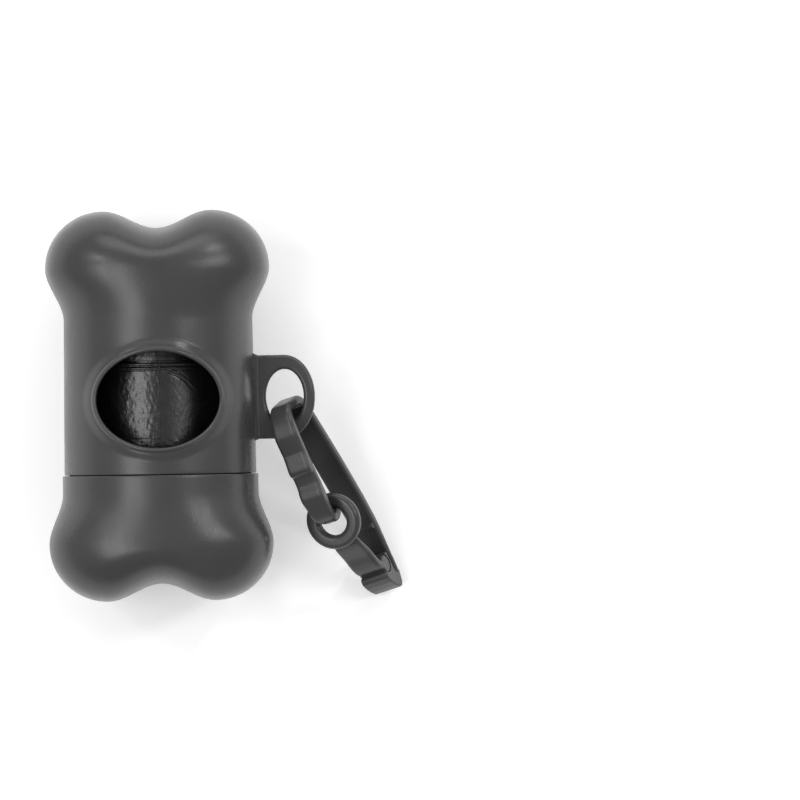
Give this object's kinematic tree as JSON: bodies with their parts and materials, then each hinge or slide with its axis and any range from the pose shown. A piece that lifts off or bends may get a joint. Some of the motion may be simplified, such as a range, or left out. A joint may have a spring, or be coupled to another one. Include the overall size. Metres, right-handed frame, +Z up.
{
  "type": "dog waste bag dispenser",
  "caption": "Bone-shaped plastic dispenser for rolled dog waste bags, with an oval bag window, a pull-off cap and a snap clip on a side eyelet.",
  "frame": {"origin": "on the table under the middle of the tube, with the dispenser lying on its back and its window up", "axes": "+X across the bone towards the eyelet side, +Y along the bone towards its plain end, +Z up out of the window"},
  "size_m": [0.0749, 0.083, 0.0421],
  "materials": {
    "case_plastic": "satin, finely moulded dark grey",
    "clip_plastic": "satin dark grey, a little glossier than the case",
    "bag_film": "glossy thin black film, creased",
    "core_cardboard": "uncoated brown board"
  },
  "bodies": {
    "case": {"upper_case": "case_plastic"},
    "cap": {"lower_cap": "case_plastic"},
    "roll": {"bag_core": "core_cardboard", "bag_roll": "bag_film", "leading_bag": "bag_film"},
    "clip": {"clip_frame": "clip_plastic"},
    "gate": {"clip_gate": "clip_plastic"}
  },
  "joints": [
    {"name": "cap_pull", "type": "slide", "parent": "case", "child": "cap", "axis": [0, -1, 0], "range_m": [0, 0.04]},
    {"name": "roll_spin", "type": "hinge", "parent": "case", "child": "roll", "pos_m": [0, -0.0045, 0.01855], "axis": [0, 1, 0], "continuous": true},
    {"name": "clip_swing", "type": "hinge", "parent": "case", "child": "clip", "pos_m": [0.0267, 0.0015, 0.0208], "axis": [0, 0, 1], "range_deg": [-10, 125]},
    {"name": "gate_swing", "type": "hinge", "parent": "clip", "child": "gate", "pos_m": [0.04492, -0.03532, 0.0063], "axis": [-0.8746, -0.2817, -0.3947], "range_deg": [0, 19], "stiffness_Nm_per_rad": 0.02}
  ]
}
